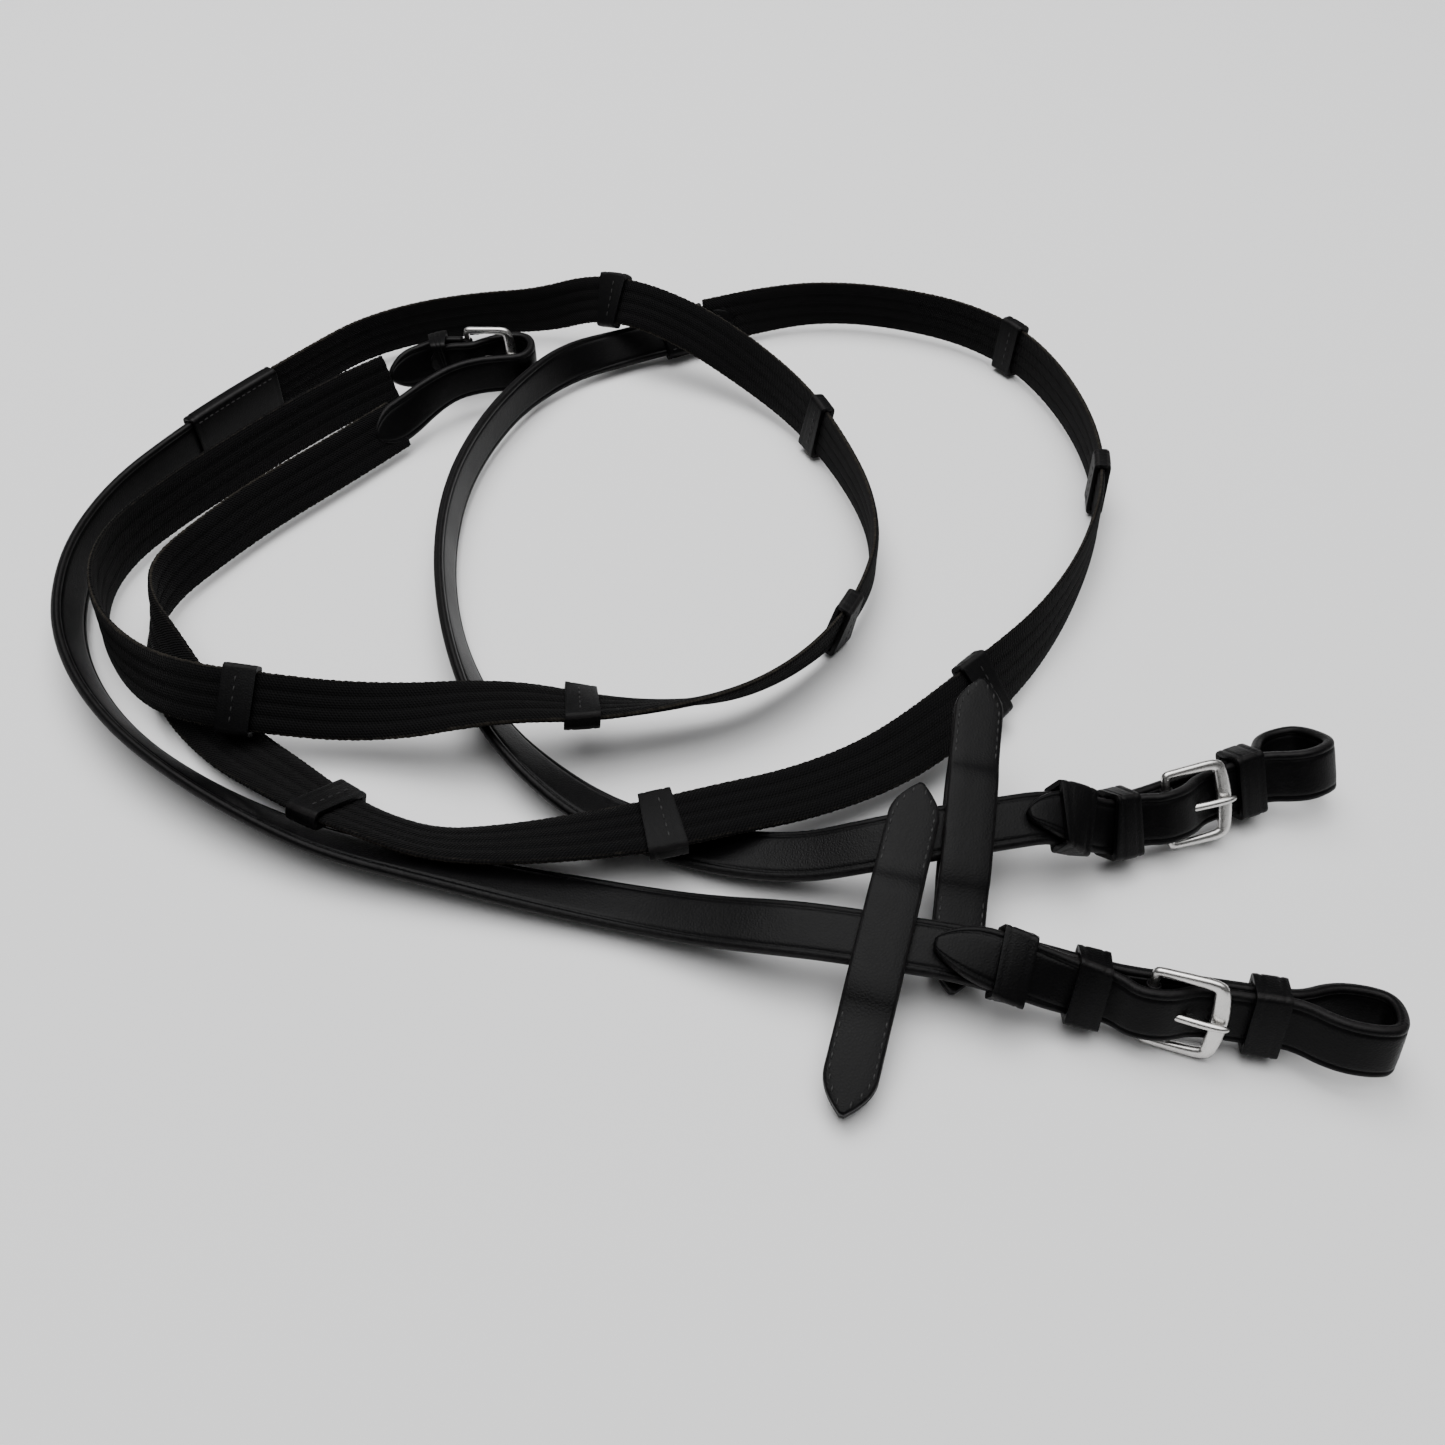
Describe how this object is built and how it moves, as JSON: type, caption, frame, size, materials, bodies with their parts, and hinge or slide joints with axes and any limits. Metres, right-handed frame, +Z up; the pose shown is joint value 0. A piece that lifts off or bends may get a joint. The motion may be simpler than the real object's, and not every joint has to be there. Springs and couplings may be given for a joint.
{
  "type": "pair of web reins",
  "caption": "Pair of web reins for a snaffle bridle, with leather bit ends, buckles, hand stops and rein stops, laid in loose loops.",
  "frame": {"origin": "under the middle of the laid-out pair, on the surface that it lies on", "axes": "+X towards the bit ends, +Y across the loops away from the bit ends' near side, +Z up"},
  "size_m": [0.416, 0.3962, 0.0364],
  "materials": {
    "leather": "smooth semi-gloss black bridle leather",
    "stop_leather": "matt black leather bands",
    "web": "ribbed black cotton webbing",
    "steel": "satin stainless steel"
  },
  "bodies": {
    "reins": {"centre_keeper": "leather", "rein_a_bit_chape": "leather", "rein_a_centre_end": "leather", "rein_a_hand_stop_1": "stop_leather", "rein_a_hand_stop_2": "stop_leather", "rein_a_hand_stop_3": "stop_leather", "rein_a_hand_stop_4": "stop_leather", "rein_a_hand_stop_5": "stop_leather", "rein_a_joint_patch": "stop_leather", "rein_a_keeper_2": "leather", "rein_a_keeper_3": "leather", "rein_a_leather": "leather", "rein_a_web": "web", "rein_b_bit_chape": "leather", "rein_b_centre_end": "leather", "rein_b_hand_stop_1": "stop_leather", "rein_b_hand_stop_2": "stop_leather", "rein_b_hand_stop_3": "stop_leather", "rein_b_hand_stop_4": "stop_leather", "rein_b_hand_stop_5": "stop_leather", "rein_b_joint_patch": "stop_leather", "rein_b_keeper_2": "leather", "rein_b_keeper_3": "leather", "rein_b_leather": "leather", "rein_b_web": "web"},
    "a_bit_buckle": {"rein_a_bit_buckle": "steel"},
    "a_bit_tongue": {"rein_a_bit_tongue": "steel"},
    "a_bit_keeper": {"rein_a_keeper_1": "leather"},
    "a_rein_stop": {"rein_a_stop_top": "leather", "rein_a_stop_bottom": "leather"},
    "b_bit_buckle": {"rein_b_bit_buckle": "steel"},
    "b_bit_tongue": {"rein_b_bit_tongue": "steel"},
    "b_bit_keeper": {"rein_b_keeper_1": "leather"},
    "b_rein_stop": {"rein_b_stop_top": "leather", "rein_b_stop_bottom": "leather"},
    "centre_buckle": {"centre_buckle": "steel"},
    "centre_tongue": {"centre_tongue": "steel"}
  },
  "joints": [
    {"name": "a_bit_buckle_tilt", "type": "hinge", "parent": "reins", "child": "a_bit_buckle", "pos_m": [0.13367, -0.1693, 0.01271], "axis": [-0.0494, -0.2712, -0.9613], "range_deg": [0, 8]},
    {"name": "a_bit_tongue_lift", "type": "hinge", "parent": "a_bit_buckle", "child": "a_bit_tongue", "pos_m": [0.13367, -0.1693, 0.01271], "axis": [-0.0494, -0.2712, -0.9613], "range_deg": [0, 12]},
    {"name": "a_bit_keeper_slide", "type": "slide", "parent": "reins", "child": "a_bit_keeper", "axis": [-0.9842, 0.1772, 0], "range_m": [-0.001, 0.003]},
    {"name": "a_rein_stop_slide", "type": "slide", "parent": "reins", "child": "a_rein_stop", "axis": [-0.9827, 0.185, 0], "range_m": [0, 0.009]},
    {"name": "b_bit_buckle_tilt", "type": "hinge", "parent": "reins", "child": "b_bit_buckle", "pos_m": [0.15295, -0.10269, 0.01348], "axis": [0.1826, -0.4325, -0.8829], "range_deg": [0, 8]},
    {"name": "b_bit_tongue_lift", "type": "hinge", "parent": "b_bit_buckle", "child": "b_bit_tongue", "pos_m": [0.15295, -0.10269, 0.01348], "axis": [0.1826, -0.4325, -0.8829], "range_deg": [0, 12]},
    {"name": "b_bit_keeper_slide", "type": "slide", "parent": "reins", "child": "b_bit_keeper", "axis": [-0.9213, -0.389, 0], "range_m": [0, 0.003]},
    {"name": "b_rein_stop_slide", "type": "slide", "parent": "reins", "child": "b_rein_stop", "axis": [-0.9806, -0.1961, 0], "range_m": [-0.009, 0]},
    {"name": "centre_buckle_tilt", "type": "hinge", "parent": "reins", "child": "centre_buckle", "pos_m": [-0.08263, 0.14846, 0.0152], "axis": [0, 0, -1], "range_deg": [0, 6]},
    {"name": "centre_tongue_lift", "type": "hinge", "parent": "centre_buckle", "child": "centre_tongue", "pos_m": [-0.08263, 0.14846, 0.0152], "axis": [0, 0, -1], "range_deg": [0, 12]}
  ]
}
